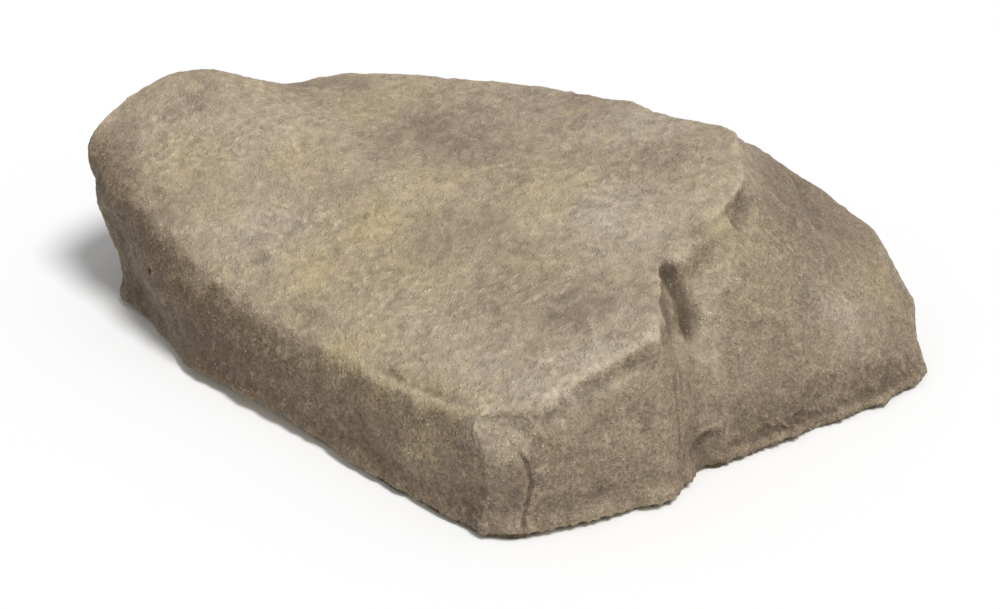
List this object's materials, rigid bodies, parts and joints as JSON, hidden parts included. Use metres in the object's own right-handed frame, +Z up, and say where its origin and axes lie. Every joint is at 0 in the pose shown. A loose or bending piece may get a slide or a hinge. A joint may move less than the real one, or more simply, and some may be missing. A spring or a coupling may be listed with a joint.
{
  "type": "pond rock cave ornament",
  "caption": "Hollow faux boulder for a pond or garden: a tilted stone slab with a lower block at one end, a low cave inside, open base, rear entrance, ground spikes.",
  "frame": {"origin": "on the ground under the middle of the rock's overall length and width", "axes": "+X along the rock's length, -Y towards its front, +Z up"},
  "size_m": [0.763, 0.5655, 0.194],
  "materials": {
    "sand_faced_resin": "coarse sand in resin, mottled grey-brown",
    "glass_fibre": "raw glass-fibre laminate",
    "black_rubber": "matte moulded rubber",
    "black_plastic": "matte moulded plastic",
    "zinc_plated_steel": "zinc-plated rod"
  },
  "bodies": {
    "rock": {"rock_shell": "sand_faced_resin", "base_rim": "glass_fibre", "mouth_sleeve": "black_rubber", "vent_bush": "black_plastic", "vent_mesh": "black_plastic", "roof_rib_left": "glass_fibre", "roof_rib_middle": "glass_fibre", "roof_rib_right": "glass_fibre", "foot_pad_1": "black_rubber", "foot_pad_2": "black_rubber", "foot_pad_3": "black_rubber", "foot_pad_4": "black_rubber", "foot_pad_5": "black_rubber", "foot_pad_6": "black_rubber", "foot_pad_7": "black_rubber", "foot_pad_8": "black_rubber", "foot_pad_9": "black_rubber", "foot_pad_10": "black_rubber", "spike_grommet_front": "black_rubber", "spike_grommet_left": "black_rubber", "spike_grommet_rear": "black_rubber", "spike_grommet_right": "black_rubber"},
    "spike_front": {"ground_spike_front": "zinc_plated_steel"},
    "spike_left": {"ground_spike_left": "zinc_plated_steel"},
    "spike_rear": {"ground_spike_rear": "zinc_plated_steel"},
    "spike_right": {"ground_spike_right": "zinc_plated_steel"}
  },
  "joints": [
    {"name": "spike_front_slide", "type": "slide", "parent": "rock", "child": "spike_front", "axis": [0, 0, 1], "range_m": [-0.069, 0]},
    {"name": "spike_left_slide", "type": "slide", "parent": "rock", "child": "spike_left", "axis": [0, 0, 1], "range_m": [-0.069, 0]},
    {"name": "spike_rear_slide", "type": "slide", "parent": "rock", "child": "spike_rear", "axis": [0, 0, 1], "range_m": [-0.069, 0]},
    {"name": "spike_right_slide", "type": "slide", "parent": "rock", "child": "spike_right", "axis": [0, 0, 1], "range_m": [-0.069, 0]}
  ]
}
